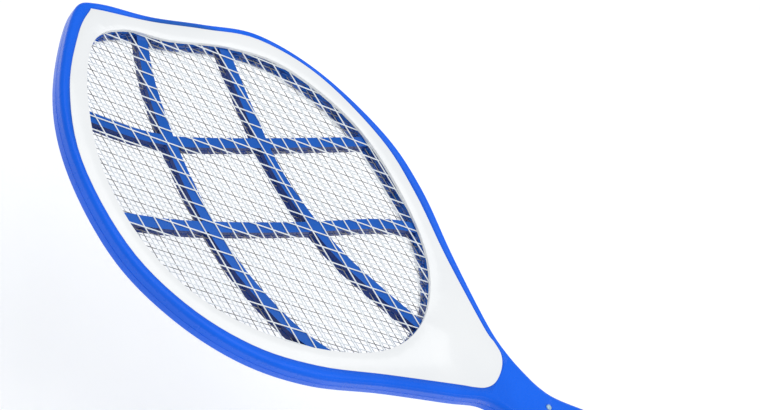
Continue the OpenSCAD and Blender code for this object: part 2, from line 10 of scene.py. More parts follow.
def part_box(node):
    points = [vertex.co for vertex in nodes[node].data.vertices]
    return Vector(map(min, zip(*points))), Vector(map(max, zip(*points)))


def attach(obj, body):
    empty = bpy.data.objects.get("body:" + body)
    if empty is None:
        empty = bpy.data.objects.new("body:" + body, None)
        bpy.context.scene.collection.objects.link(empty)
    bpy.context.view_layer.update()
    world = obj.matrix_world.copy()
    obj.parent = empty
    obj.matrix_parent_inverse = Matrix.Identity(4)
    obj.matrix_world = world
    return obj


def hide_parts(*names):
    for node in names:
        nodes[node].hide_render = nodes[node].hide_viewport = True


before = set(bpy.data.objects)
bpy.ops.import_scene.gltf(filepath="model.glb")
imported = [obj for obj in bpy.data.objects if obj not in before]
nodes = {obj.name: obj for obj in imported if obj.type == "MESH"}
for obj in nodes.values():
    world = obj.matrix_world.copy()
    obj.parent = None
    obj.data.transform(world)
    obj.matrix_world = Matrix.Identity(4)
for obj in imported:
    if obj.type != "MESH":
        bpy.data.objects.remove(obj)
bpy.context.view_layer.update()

scene = bpy.context.scene

# ---- Studio: camera, floor and lights ----------------------------------------------------
# The swatter floats face up over a white studio floor, seen from above its left side. One big
# soft light hangs over it, a long strip lights the rim's side, and a low one the front.

top_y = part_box("front_housing")[1].y
camera = bpy.data.objects.new("camera", bpy.data.cameras.new("camera"))
scene.collection.objects.link(camera)
scene.camera = camera
camera.data.sensor_width = 36
camera.data.lens = 66.137
camera.data.clip_start = 0.01
look = Vector((0.674123, -0.167168, -0.719454))
right = Vector((0.374762, -0.761950, 0.528191))
right = (right - look * right.dot(look)).normalized()
up = right.cross(look)
turn = Matrix((right, up, -look)).transposed().to_4x4()
camera.matrix_world = Matrix.Translation((-0.517576, top_y - 0.06921, 0.614670)) @ turn

floor_mesh = bpy.data.meshes.new("studio_floor")
floor_z, floor_half = -0.2, 6
floor_mesh.from_pydata([(x * floor_half, y * floor_half, floor_z)
                        for x, y in ((-1, -1), (1, -1), (1, 1), (-1, 1))], [], [(0, 1, 2, 3)])
floor = bpy.data.objects.new("studio_floor", floor_mesh)
scene.collection.objects.link(floor)


class Flow:
    """One socket of a material's node tree, so that shader maths reads as plain maths."""

    def __init__(self, tree, socket):
        self.tree, self.socket = tree, socket

    def node(self, kind, settings=None, inputs=None, output=0):
        """A new node in this tree; inputs are numbers, colours or other flows."""
        made = self.tree.nodes.new(kind)
        for name, value in (settings or {}).items():
            if name == "stops":
                ramp = made.color_ramp
                ramp.interpolation = "CONSTANT"
                while len(ramp.elements) < len(value):
                    ramp.elements.new(0.5)
                for stop, (place, colour) in zip(ramp.elements, value):
                    stop.position, stop.color = place, (*colour, 1)
            else:
                setattr(made, name, value)
        for name, value in (inputs or {}).items():
            if isinstance(value, Flow):
                self.tree.links.new(value.socket, made.inputs[name])
            else:
                made.inputs[name].default_value = value
        return Flow(self.tree, made.outputs[output])

    def maths(self, operation, *values):
        return self.node("ShaderNodeMath", {"operation": operation}, dict(enumerate(values)))

    def __add__(self, other): return self.maths("ADD", self, other)
    __radd__ = __add__
    def __mul__(self, other): return self.maths("MULTIPLY", self, other)
    __rmul__ = __mul__
    def __sub__(self, other): return self.maths("SUBTRACT", self, other)
    def __rsub__(self, other): return self.maths("SUBTRACT", other, self)

    def between(self, low, high):
        """0 below low, 1 above high, smooth in between."""
        return self.node("ShaderNodeMapRange", {"interpolation_type": "SMOOTHSTEP"},
                         {0: self, 1: low, 2: high})

    def blend(self, first, second):
        """A colour between first and second, by this value."""
        return self.node("ShaderNodeMix", {"data_type": "RGBA"}, {0: self, 6: first, 7: second}, 2)


def noise(place, scale, detail=2.0):
    """Soft random values over a piece, from 0 to 1."""
    return place.node("ShaderNodeTexNoise", None,
                      {"Vector": place, "Scale": scale, "Detail": detail})


def new_material(name):
    """An empty material: its shader node and its place on the piece."""
    material = bpy.data.materials.new(name)
    material.use_nodes = True
    tree = material.node_tree
    tree.nodes.clear()
    shader = tree.nodes.new("ShaderNodeBsdfPrincipled")
    end = tree.nodes.new("ShaderNodeOutputMaterial")
    tree.links.new(shader.outputs[0], end.inputs[0])
    place = Flow(tree, tree.nodes.new("ShaderNodeTexCoord").outputs["Object"])
    return material, shader, place


def feed(shader, **values):
    """Sets or links the shader's sockets, Base_Color standing for Base Color."""
    for name, value in values.items():
        socket = shader.inputs[name.replace("_", " ")]
        if isinstance(value, Flow):
            value.tree.links.new(value.socket, socket)
        else:
            socket.default_value = value


def grain(place, scale, strength):
    """A fine bump for Normal."""
    return place.node("ShaderNodeBump", None,
                      {"Strength": strength, "Distance": 0.0002, "Height": noise(place, scale)})


paint, shader, place = new_material("studio_white")
feed(shader, Roughness=0.9, Specular_IOR_Level=0.1, Emission_Strength=0.2,
     Emission_Color=(1, 1, 1, 1),
     Base_Color=noise(place, 3).blend((0.93, 0.935, 0.94, 1), (0.95, 0.955, 0.96, 1)))
floor_mesh.materials.append(paint)


def soft_light(name, spot, target, size, power):
    """A rectangular light at spot that points at target."""
    lamp = bpy.data.lights.new(name, "AREA")
    lamp.shape = "RECTANGLE"
    lamp.size, lamp.size_y = size
    lamp.energy = power
    holder = bpy.data.objects.new(name, lamp)
    scene.collection.objects.link(holder)
    aim = (Vector(target) - Vector(spot)).to_track_quat("-Z", "Y").to_matrix().to_4x4()
    holder.matrix_world = Matrix.Translation(spot) @ aim


soft_light("overhead", (0.25, 0.1, 1.6), (0, 0, 0), (1.6, 1.6), 13)
soft_light("left_strip", (-1.3, 0.2, 0.55), (0, 0.05, 0), (0.35, 1.8), 0.8)
soft_light("low_front", (-0.3, -1.4, 0.7), (0, 0, 0), (1.2, 0.6), 3)

world = bpy.data.worlds.new("studio")
world.use_nodes = True
world.node_tree.nodes["Background"].inputs[0].default_value = (0.96, 0.98, 1.0, 1)
world.node_tree.nodes["Background"].inputs[1].default_value = 0.6
scene.world = world
scene.view_settings.view_transform = "Standard"
scene.view_settings.exposure = 0.0

# ---- Shells ------------------------------------------------------------------------------
# Two glossy royal blue ABS mouldings, front and rear, that meet halfway up the rim and are
# screwed together from behind. Each carries its half of the frame, the four curved ribs and
# the handle. The edges are rounded: tight along the rim, full on the grip.

middle = top_y - 0.34687        # where the head meets the handle
grip_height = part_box("front_housing")[1].z
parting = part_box("front_housing")[0].z
# in millimetres from the joint of head and handle
rim_height = 13.5
neck_half, grip_half = 15.5, 19.5
handle_end = -178.0
corner_r = 8                    # the handle's end corners, seen from the front
skin_gap = 0.13                 # how far the rounded skin lies inside the CAD shells
flat_gap = 0.05                 # the same on the flat front and back
groove = 0.25                   # half the parting groove's width


def smooth(points, steps, ring=False):
    """Points on a smooth curve through the given ones."""
    p = np.array(points, float)
    n = len(p)
    found = []
    for i in range(n if ring else n - 1):
        if ring:
            a, b, c, d = p[i - 1], p[i], p[(i + 1) % n], p[(i + 2) % n]
        else:
            b, c = p[i], p[i + 1]
            a = p[i - 1] if i else 2 * b - c
            d = p[i + 2] if i + 2 < n else 2 * c - b
        for t in np.arange(steps) / steps:
            found.append(0.5 * (2 * b + (c - a) * t + (2 * a - 5 * b + 4 * c - d) * t * t
                                + (3 * b - a - 3 * c + d) * t ** 3))
    if not ring:
        found.append(p[-1])
    return np.array(found)


def eased(s):
    s = np.clip(s, 0, 1)
    return s * s * (3 - 2 * s)


def front_height(y):
    """Height of the front face at y: level on the head, then a slope up to the grip."""
    return rim_height + (grip_height * 1000 - rim_height) * eased((-y - 8) / 42)


def half_width(y):
    """Half the handle's width at y, from the neck to the grip."""
    return neck_half + (grip_half - neck_half) * eased(-y / 60)


def body_outline():
    """The outline of head and handle, clockwise from the left of the neck."""
    left = [(-18.5, 21), (-31, 40.5), (-56, 80), (-82, 118.5), (-97.5, 157.5)]
    crown = [(-102, 201), (-94.5, 245.5), (-69, 292), (-35, 324), (13, 346), (28.5, 340),
             (47, 312.5), (69.5, 286.5), (92.5, 257), (102, 212)]
    right = [(96.5, 157.5), (80, 119.5), (53, 82), (27.5, 42.5), (19, 21)]
    head = smooth([(-neck_half, 0)] + left + crown + right + [(neck_half, 0)], 12)
    side = [(half_width(y), y) for y in np.linspace(-2, handle_end + 9, 60)]
    corner = [(grip_half - corner_r + corner_r * math.cos(a),
               handle_end + corner_r + corner_r * math.sin(a))
              for a in np.radians(np.arange(0, -91, -10))]
    right_side = np.array(side + corner)
    left_side = right_side[::-1] * (-1, 1)
    tail = np.array([(x, handle_end) for x in np.linspace(9, -9, 7)])
    ring = np.vstack([head, right_side, tail, left_side])
    # even steps round the ring, then a light smoothing of its joints
    closed = np.vstack([ring, ring[:1]])
    along = np.concatenate([[0], np.cumsum(np.linalg.norm(np.diff(closed, axis=0), axis=1))])
    at = np.linspace(0, along[-1], 560, endpoint=False)
    even = np.column_stack([np.interp(at, along, closed[:, k]) for k in (0, 1)])
    for _ in range(3):
        even = (np.roll(even, 1, 0) + 2 * even + np.roll(even, -1, 0)) / 4
    return even


def inward(ring):
    """Unit vectors that point into a clockwise ring."""
    ahead = np.roll(ring, -1, 0) - np.roll(ring, 1, 0)
    ahead /= np.linalg.norm(ahead, axis=1)[:, None]
    return np.column_stack([ahead[:, 1], -ahead[:, 0]])


def filled(ring, extra):
    """Triangles over the inside of a ring of points, with extra points inside it."""
    points = [Vector(p) for p in np.vstack([ring, extra])]
    count = len(ring)
    edges = [(i, (i + 1) % count) for i in range(count)]
    out = delaunay_2d_cdt(points, edges, [], 1, 1e-6)
    return np.array([tuple(v) for v in out[0]]), out[2], out[3]


def make_piece(name, points, faces=(), edges=()):
    """A new object from points in millimetres from the joint of head and handle."""
    mesh = bpy.data.meshes.new(name)
    moved = np.array(points, float) / 1000 + (0, middle, 0)
    mesh.from_pydata(moved.tolist(), edges, [tuple(f) for f in faces])
    mesh.update()
    piece = bpy.data.objects.new(name, mesh)
    scene.collection.objects.link(piece)
    return piece


def rounded_body():
    """The whole outside of the swatter's body, closed, a hair inside the CAD shells."""
    ring = body_outline()
    side = inward(ring)
    y = ring[:, 1]
    front_r = 2.8 + 2.1 * eased((55 - y) / 75) + 3.1 * eased((-y - 30) / 24)
    tail = eased((-y - 160) / 16)
    front_r = front_r * (1 - tail) + 4.4 * tail
    rear_r = 2.0 + 1.0 * eased((20 - y) / 60)
    rows = []

    def row(depth, from_front, height):
        """One closed line of the skin: depth inward, height from the back or the front."""
        at = ring + side * (skin_gap + depth)[:, None]
        high = front_height(at[:, 1]) - flat_gap if from_front else 0.0
        rows.append(np.column_stack([at, high + height]))

    none = np.zeros(len(ring))
    steps = np.radians(np.linspace(90, 0, 7))
    for a in steps:                                   # round the rear edge
        row(rear_r * (1 - np.cos(a)), False, flat_gap + rear_r * (1 - np.sin(a)))
    for rise, depth in ((-groove, 0.0), (0.0, 0.3), (groove, 0.0)):   # the parting groove
        row(none + depth, False, none + parting * 1000 + rise)
    for a in np.radians(np.linspace(0, 90, 13)):      # round the front edge, with a little draft
        row(0.25 + front_r * (1 - np.cos(a)) - 0.25 * math.sin(a), True,
            -front_r * (1 - np.sin(a)))
    count = len(ring)
    points = np.vstack(rows)
    faces = []
    for k in range(len(rows) - 1):
        for i in range(count):
            j = (i + 1) % count
            faces.append((k * count + i, (k + 1) * count + i, (k + 1) * count + j, k * count + j))
    # points inside the front face, so that it follows the slope
    inside = np.array([(s * (half_width(v) - 9.5) / 3, v) for v in np.arange(-168, 3, 2.5)
                       for s in (-3, -2, -1, 0, 1, 2, 3)])
    for edge, extra, up in ((0, inside[::7] * (0, 1), False),       # back, then front
                            (len(rows) - 1, inside, True)):
        flat, triangles, origin = filled(rows[edge][:, :2], extra)
        slot = {}
        for i, old in enumerate(origin):
            own = [o for o in old if o < count]
            if own:
                slot[i] = edge * count + own[0]
        base = len(points)
        fresh = []
        for i in range(len(flat)):
            if i not in slot:
                slot[i] = base + len(fresh)
                high = front_height(flat[i, 1]) - flat_gap if up else flat_gap
                fresh.append((flat[i, 0], flat[i, 1], high))
        if fresh:
            points = np.vstack([points, fresh])
        for t in triangles:
            faces.append([slot[i] for i in t])
    body = make_piece("rounded_body", points, faces)
    tool = bmesh.new()
    tool.from_mesh(body.data)
    bmesh.ops.recalc_face_normals(tool, faces=tool.faces)
    tool.to_mesh(body.data)
    tool.free()
    return body


def copy_of(node, name):
    """A welded copy of a CAD node's mesh."""
    mesh = nodes[node].data.copy()
    mesh.materials.clear()
    tool = bmesh.new()
    tool.from_mesh(mesh)
    bmesh.ops.remove_doubles(tool, verts=tool.verts, dist=2e-6)
    tool.to_mesh(mesh)
    tool.free()
    piece = bpy.data.objects.new(name, mesh)
    scene.collection.objects.link(piece)
    return piece


def settled(piece):
    """Turns a piece's modifiers into plain mesh."""
    seen = piece.evaluated_get(bpy.context.evaluated_depsgraph_get())
    mesh = bpy.data.meshes.new_from_object(seen)
    piece.modifiers.clear()
    piece.data = mesh
    return piece


def soft_shading(piece, angle):
    """Smooth shading that breaks at edges sharper than angle."""
    mesh = piece.data
    mesh.polygons.foreach_set("use_smooth", [True] * len(mesh.polygons))
    mesh.set_sharp_from_angle(angle=math.radians(angle))
    mesh.update()


shell_plastic, shader, place = new_material("royal_blue_abs")
cloud = noise(place, 22, 3)
flow = noise(place, 260, 2)
from_net = place.node("ShaderNodeVectorMath", {"operation": "MULTIPLY"}, {
    0: place.node("ShaderNodeVectorMath", {"operation": "SUBTRACT"},
                  {0: place, 1: (0, middle + 0.202, 0)}),
    1: (1 / 0.094, 1 / 0.131, 0)})
# 0 inside the window, where shade is painted into the blue, 1 outside it
clear_of_painted_shade = from_net.node("ShaderNodeVectorMath", {"operation": "LENGTH"}, {0: from_net}, 1).between(
    0.935, 0.975)
# painted shade: inside the window the blue is painted deeper, and deepest on the walls and the
# ribs' sides
facing = place.node("ShaderNodeSeparateXYZ", None,
                    {"Vector": place.node("ShaderNodeNewGeometry", output=1)}, 2)
# 1 on faces that face up or down, 0 on faces that face sideways, which get a navy painted shade
flat = facing.maths("ABSOLUTE", facing).between(0.4, 0.75)
# plain blue outside the window, painted shade inside it, and darker painted shade on its sideways
# faces
feed(shader, Base_Color=clear_of_painted_shade.blend(
         flat.blend((0.002, 0.028, 0.19, 1), cloud.between(0.3, 0.7).blend(
             (0.005, 0.095, 0.45, 1), (0.007, 0.11, 0.51, 1))),
         cloud.between(0.3, 0.7).blend((0.003, 0.122, 0.8, 1), (0.005, 0.138, 0.88, 1))),
     Roughness=0.24 + 0.08 * flow, Coat_Weight=0.07, Coat_Roughness=0.05, Specular_IOR_Level=0.14,
     Normal=grain(place, 900, 0.05))


def stands_for(piece, node, body="base"):
    """Hides the CAD node that a piece stands for and hangs the piece on the body it moves with."""
    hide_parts(node)
    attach(piece, body)


def fitted(piece, node, finish, slot_name, body="base"):
    """A piece of one finish that stands for a CAD node."""
    piece.data.materials.clear()
    piece.data.materials.append(finish)
    stands_for(piece, node, body)


body = rounded_body()
for node, name in (("front_housing", "front_shell"), ("rear_housing", "rear_shell"),
                   ("end_cap", "tail_cap")):
    shell = copy_of(node, name)
    cut = shell.modifiers.new("round", "BOOLEAN")
    cut.operation, cut.solver, cut.object = "INTERSECT", "MANIFOLD", body
    settled(shell)
    soft_shading(shell, 32)
    fitted(shell, node, shell_plastic, "shell_blue")
bpy.data.objects.remove(body)

# ---- Bezels ------------------------------------------------------------------------------
# Two white glossy plates, one a side, pressed on with pegs so that they cover the shells'
# joint with the nets. Their outer edge lies flush with the blue lip, with a fine gap.

bezel_plastic, shader, place = new_material("white_abs")
cloud = noise(place, 18, 3)
feed(shader, Base_Color=cloud.between(0.3, 0.7).blend(
         (0.86, 0.875, 0.885, 1), (0.9, 0.91, 0.915, 1)),
     Roughness=0.16 + 0.08 * noise(place, 240, 2), Coat_Weight=0.3, Coat_Roughness=0.05,
     Normal=grain(place, 800, 0.04))


def eased_edges(node, name, width, rounds=2):
    """A copy of a CAD node with its flat faces joined up and its sharp edges rounded."""
    piece = copy_of(node, name)
    tool = bmesh.new()
    tool.from_mesh(piece.data)
    bmesh.ops.dissolve_limit(tool, angle_limit=math.radians(0.5), verts=tool.verts,
                             edges=tool.edges)
    sharp = [e for e in tool.edges
             if len(e.link_faces) == 2 and e.calc_face_angle(0) > math.radians(50)]
    bmesh.ops.bevel(tool, geom=sharp, offset=width, offset_type="OFFSET", segments=rounds,
                    profile=0.5, affect="EDGES", clamp_overlap=True)
    bmesh.ops.triangulate(tool, faces=[f for f in tool.faces if len(f.verts) > 4])
    tool.to_mesh(piece.data)
    tool.free()
    soft_shading(piece, 40)
    return piece


for node, name in (("front_bezel", "front_bezel_plate"), ("rear_bezel", "rear_bezel_plate")):
    fitted(eased_edges(node, name, 0.00035), node, bezel_plastic, "bezel_white")

# ---- Nets --------------------------------------------------------------------------------
# Three nets of drawn wire across the window: the outer two earthed and coated white, the
# middle one bare and live. Straight wires cross at a slant and are held between the shells.

window = smooth([(4, 326), (-29, 309), (-63, 276), (-84, 233), (-87.5, 187), (-72, 137),
                 (-40, 94), (-3, 80.6), (36, 95.3), (67, 134), (85.5, 180), (84.5, 232), (67, 266),
                 (41, 295), (25, 318)], 6, ring=True)
cell_w, cell_l, net_turn = 9.1, 19.1, math.radians(1)
slant = math.atan2(cell_w, cell_l)
pitch = cell_w * cell_l / math.hypot(cell_w, cell_l)
net_centre = np.array((4.0, 202.0))
held = 2.2                      # how far the wires run on under the window's edge


def wire_lines(angle, height):
    """End points of the parallel wires that lean by angle, cut at the edge of the net."""
    way = np.array((math.sin(angle), math.cos(angle)))
    across = np.array((math.cos(angle), -math.sin(angle)))
    edge = window + inward(window) * held     # outward, as its points run the other way round
    lines = []
    for k in range(-22, 23):
        start = net_centre + (k + 0.5) * pitch * across
        hits = []
        for a, b in zip(edge, np.roll(edge, -1, 0)):
            da, db = (a - start) @ across, (b - start) @ across
            if da * db < 0:
                hits.append((a + (b - a) * da / (da - db) - start) @ way)
        if len(hits) > 1 and max(hits) - min(hits) > 10:
            lines.append([(*(start + way * s), height) for s in (min(hits), max(hits))])
    return lines


wire_tree = bpy.data.node_groups.new("drawn_wires", "GeometryNodeTree")


def socket(tree, name, kind, way="INPUT"):
    """A named way in or out of a geometry tree, given back as its identifier."""
    return tree.interface.new_socket(name, in_out=way,
                                     socket_type="NodeSocket" + kind).identifier


socket(wire_tree, "Lines", "Geometry")
wire_radius = socket(wire_tree, "Wire radius", "Float")
wire_sides = socket(wire_tree, "Wire sides", "Int")
wire_finish = socket(wire_tree, "Finish", "Material")
socket(wire_tree, "Wires", "Geometry", "OUTPUT")


def add(tree, kind, links=(), settings=None, values=None):
    """A geometry node; links are (socket here, node, its output)."""
    made = tree.nodes.new(kind)
    for name, value in (settings or {}).items():
        setattr(made, name, value)
    for name, value in (values or {}).items():
        made.inputs[name].default_value = value
    for here, source, output in links:
        tree.links.new(source.outputs[output], made.inputs[here])
    return made


given = add(wire_tree, "NodeGroupInput")
lines = add(wire_tree, "GeometryNodeMeshToCurve", [("Mesh", given, "Lines")])
section = add(wire_tree, "GeometryNodeCurvePrimitiveCircle",
              [("Radius", given, "Wire radius"), ("Resolution", given, "Wire sides")])
swept = add(wire_tree, "GeometryNodeCurveToMesh",
            [("Curve", lines, 0), ("Profile Curve", section, 0)], values={"Fill Caps": True})
shaded = add(wire_tree, "GeometryNodeSetShadeSmooth", [(0, swept, 0)])
real = add(wire_tree, "GeometryNodeRealizeInstances", [(0, shaded, 0)])
finished = add(wire_tree, "GeometryNodeSetMaterial", [(0, real, 0), ("Material", given, "Finish")])
add(wire_tree, "NodeGroupOutput", [(0, finished, 0)])

white_wire, shader, place = new_material("white_coated_wire")
feed(shader, Base_Color=noise(place, 300, 2).between(0.35, 0.65).blend(
         (0.82, 0.87, 0.9, 1), (0.9, 0.93, 0.95, 1)),
     Roughness=0.32 + 0.1 * noise(place, 700), Coat_Weight=0.15)
bare_wire, shader, place = new_material("bare_drawn_wire")
feed(shader, Base_Color=noise(place, 400, 2).between(0.35, 0.65).blend(
         (0.3, 0.3, 0.3, 1), (0.42, 0.41, 0.4, 1)),
     Roughness=0.35 + 0.15 * noise(place, 900), Metallic=0.6)

layer = 0.3                     # from a net's face to the middle of its outer wires
for node, name, radius, finish, slot_name in (
        ("front_net", "front_wires", 0.0004, white_wire, "net_white"),
        ("centre_net", "centre_wires", 0.00027, bare_wire, "net_grey"),
        ("rear_net", "rear_wires", 0.00027, white_wire, "net_white")):
    low, high = (c.z * 1000 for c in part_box(node))
    rows = (wire_lines(net_turn + slant, low + layer)
            + wire_lines(net_turn - slant, high - layer))
    ends = [p for line in rows for p in line]
    net = make_piece(name, ends, edges=[(2 * i, 2 * i + 1) for i in range(len(rows))])
    weave = net.modifiers.new("wires", "NODES")
    weave.node_group = wire_tree
    weave[wire_radius] = radius
    weave[wire_sides] = 6
    weave[wire_finish] = finish
    stands_for(settled(net), node)

# ---- Screws ------------------------------------------------------------------------------
# Zinc plated self-tapping screws driven from the back: ten round the head through the rear
# bezel, four in the handle, and two that hold the board. Pan heads with a cross recess.


def turned(profile, around=32):
    """Points and faces of a solid turned about Z from (radius, height) pairs, ends on the axis."""
    points, faces, last = [(0, 0, profile[0][1])], [], None
    for radius, height in profile[1:-1]:
        first = len(points)
        for k in range(around):
            a = 2 * math.pi * k / around
            points.append((radius * math.cos(a), radius * math.sin(a), height))
        for k in range(around):
            j = (k + 1) % around
            if last is None:
                faces.append((0, first + j, first + k))
            else:
                faces.append((last + k, last + j, first + j, first + k))
        last = first
    points.append((0, 0, profile[-1][1]))
    for k in range(around):
        faces.append((last + k, last + (k + 1) % around, len(points) - 1))
    return points, faces


def put(name, points, faces):
    """An object from points in metres, with its faces turned outwards."""
    mesh = bpy.data.meshes.new(name)
    mesh.from_pydata([tuple(p) for p in points], [], faces)
    tool = bmesh.new()
    tool.from_mesh(mesh)
    bmesh.ops.recalc_face_normals(tool, faces=tool.faces)
    tool.to_mesh(mesh)
    tool.free()
    piece = bpy.data.objects.new(name, mesh)
    scene.collection.objects.link(piece)
    return piece


def islands(node):
    """Lowest and highest corner of each separate solid of a CAD node."""
    tool = bmesh.new()
    tool.from_mesh(nodes[node].data)
    bmesh.ops.remove_doubles(tool, verts=tool.verts, dist=2e-6)
    left, found = set(tool.verts), []
    while left:
        reach, group = [left.pop()], []
        while reach:
            v = reach.pop()
            group.append(v.co)
            for e in v.link_edges:
                w = e.other_vert(v)
                if w in left:
                    left.remove(w)
                    reach.append(w)
        at = np.array(group)
        found.append((at.min(0), at.max(0)))
    tool.free()
    return sorted(found, key=lambda c: (round(c[0][1], 4), c[0][0]))


def screw_shape(name, head_r, shank_r, length):
    """A screw with its head's face at 0 and its point up; the sizes are in millimetres."""
    r, head_t = head_r, 1.1
    points, faces = turned([(0, 0), (r * 0.55, 0), (r * 0.8, 0.06), (r * 0.94, 0.22), (r, 0.5),
                            (r, head_t), (shank_r, head_t), (shank_r, length - 0.8),
                            (0.3, length), (0, length)])
    screw = put(name, np.array(points) / 1000, faces)
    for turn_z in (0, math.pi / 2):
        slot_mesh = bmesh.new()
        bmesh.ops.create_cube(slot_mesh, size=1)
        for v in slot_mesh.verts:
            narrow = 0.6 if v.co.z > 0 else 1
            v.co = Vector((v.co.x * 1.25 * r * narrow, v.co.y * 0.26 * r,
                           v.co.z * 1.2)) / 1000
        bmesh.ops.rotate(slot_mesh, verts=slot_mesh.verts, matrix=Matrix.Rotation(turn_z, 3, "Z"))
        mesh = bpy.data.meshes.new("recess")
        slot_mesh.to_mesh(mesh)
        slot_mesh.free()
        bit = bpy.data.objects.new("recess", mesh)
        scene.collection.objects.link(bit)
        cut = screw.modifiers.new("recess", "BOOLEAN")
        cut.operation, cut.solver, cut.object = "DIFFERENCE", "MANIFOLD", bit
        settled(screw)
        bpy.data.objects.remove(bit)
    soft_shading(screw, 35)
    return screw


zinc, shader, place = new_material("zinc_plated_steel")
cloud = noise(place, 900, 3)
feed(shader, Base_Color=cloud.between(0.3, 0.7).blend((0.5, 0.5, 0.5, 1), (0.66, 0.66, 0.68, 1)),
     Roughness=0.24 + 0.16 * noise(place, 2600), Metallic=1.0, Normal=grain(place, 3000, 0.1))

screw_tree = bpy.data.node_groups.new("driven_screws", "GeometryNodeTree")
socket(screw_tree, "Places", "Geometry")
screw_pattern = socket(screw_tree, "Screw shape", "Object")
turn_seed = socket(screw_tree, "Turn seed", "Int")
screw_finish = socket(screw_tree, "Finish", "Material")
socket(screw_tree, "Screws", "Geometry", "OUTPUT")
given = add(screw_tree, "NodeGroupInput")
shape = add(screw_tree, "GeometryNodeObjectInfo", [("Object", given, "Screw shape")])
driven = add(screw_tree, "FunctionNodeRandomValue", [("Seed", given, "Turn seed")],
             {"data_type": "FLOAT_VECTOR"}, {0: (0, 0, 0), 1: (0, 0, 2 * math.pi)})
placed = add(screw_tree, "GeometryNodeInstanceOnPoints",
             [("Points", given, "Places"), ("Instance", shape, "Geometry"),
              ("Rotation", driven, 0)])
real = add(screw_tree, "GeometryNodeRealizeInstances", [(0, placed, 0)])
finished = add(screw_tree, "GeometryNodeSetMaterial", [(0, real, 0), ("Material", given, "Finish")])
add(screw_tree, "NodeGroupOutput", [(0, finished, 0)])

for node, name, head_r, shank_r, seed in (("rim_screws", "head_screws", 2.1, 1.0, 3),
                                          ("handle_screws", "grip_screws", 2.1, 1.0, 8),
                                          ("board_screws", "small_screws", 1.8, 0.8, 5)):
    screw_boxes = islands(node)
    spots = [((lo[0] + hi[0]) / 2, (lo[1] + hi[1]) / 2, lo[2]) for lo, hi in screw_boxes]
    length = (screw_boxes[0][1][2] - screw_boxes[0][0][2]) * 1000
    shape = screw_shape(name + "_shape", head_r, shank_r, length)
    mesh = bpy.data.meshes.new(name)
    mesh.from_pydata(spots, [], [])
    screws = bpy.data.objects.new(name, mesh)
    scene.collection.objects.link(screws)
    drive = screws.modifiers.new("screws", "NODES")
    drive.node_group = screw_tree
    drive[screw_pattern] = shape
    drive[turn_seed] = seed
    drive[screw_finish] = zinc
    stands_for(settled(screws), node)
    bpy.data.objects.remove(shape)

# ---- Push button, slide knob and lens ----------------------------------------------------
# A round satin white button with a dished top, held down for as long as it is to zap. The
# slide knob beside it switches the power, with four ridges for the thumb, and the clear blue
# lens over the LED shows that the nets are live.

satin_white, shader, place = new_material("satin_white_abs")
feed(shader, Base_Color=noise(place, 120, 3).between(0.3, 0.7).blend(
         (0.78, 0.79, 0.8, 1), (0.85, 0.86, 0.87, 1)),
     Roughness=0.36 + 0.1 * noise(place, 900), Normal=grain(place, 2500, 0.12))


def turned_piece(name, profile, node, material, body, slot_name, around=64):
    """A turned solid that stands for a CAD node, on the node's own axis."""
    low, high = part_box(node)
    points, faces = turned(profile, around)
    centre = ((low.x + high.x) / 2, (low.y + high.y) / 2, 0)
    piece = put(name, np.array(points) / 1000 + centre, faces)
    soft_shading(piece, 35)
    fitted(piece, node, material, slot_name, body)


low, high = (c.z * 1000 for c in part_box("push_button"))
face_z = grip_height * 1000
turned_piece("button_cap", [
    (0, low), (2.0, low), (2.2, low + 0.2), (2.2, face_z - 3.4), (7.2, face_z - 3.4),
    (7.4, face_z - 3.2), (7.4, face_z - 2.5), (7.2, face_z - 2.3), (6.0, face_z - 2.3),
    (6.0, high - 1.0), (5.9, high - 0.55), (5.6, high - 0.2), (5.15, high), (4.6, high - 0.08),
    (3.9, high - 0.4), (2.8, high - 0.7), (1.4, high - 0.86), (0, high - 0.9)],
    "push_button", satin_white, "push_button", "control_white")

fitted(eased_edges("slide_knob", "slide_knob_cap", 0.00022), "slide_knob", satin_white,
       "control_white", "slide_knob")

clear_blue, shader, place = new_material("clear_blue_lens")
feed(shader, Base_Color=noise(place, 700, 2).between(0.3, 0.7).blend(
         (0.42, 0.74, 0.98, 1), (0.6, 0.84, 1.0, 1)),
     Roughness=0.06 + 0.06 * noise(place, 900), Transmission_Weight=0.35, Coat_Weight=0.5,
     IOR=1.49)
low, high = (c.z * 1000 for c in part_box("indicator_lens"))
turned_piece("lens_dome", [(0, low), (1.65, low), (1.8, low + 0.15), (1.8, high - 0.75),
                           (1.68, high - 0.5), (1.4, high - 0.25), (0.8, high - 0.06), (0, high)],
             "indicator_lens", clear_blue, "base", "lens_blue", 40)

# ---- Battery cover -----------------------------------------------------------------------
# A blue lid on the back, hinged at the end near the hanging hole, with a finger hold at the
# other end and five shallow grooves across it for grip.

lid = eased_edges("battery_cover", "battery_lid", 0.0003)
low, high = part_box("battery_cover")
grooves = bmesh.new()
for k in range(5):
    bmesh.ops.create_cube(grooves, size=1, matrix=Matrix.Translation(
        (0, high.y - 0.0105 - 0.0024 * k, low.z)) @ Matrix.Diagonal((0.017, 0.001, 0.0009, 1)))
groove_mesh = bpy.data.meshes.new("grooves")
grooves.to_mesh(groove_mesh)
grooves.free()
groove_piece = bpy.data.objects.new("grooves", groove_mesh)
scene.collection.objects.link(groove_piece)
cut = lid.modifiers.new("grooves", "BOOLEAN")
cut.operation, cut.solver, cut.object = "DIFFERENCE", "MANIFOLD", groove_piece
settled(lid)
bpy.data.objects.remove(groove_piece)
soft_shading(lid, 35)
fitted(lid, "battery_cover", shell_plastic, "shell_blue", "battery_cover")

# ---- Push button switch ------------------------------------------------------------------
# A small tactile switch soldered under the button: a tin plated frame round a black moulded
# body, and a black plunger that the button's foot presses down.

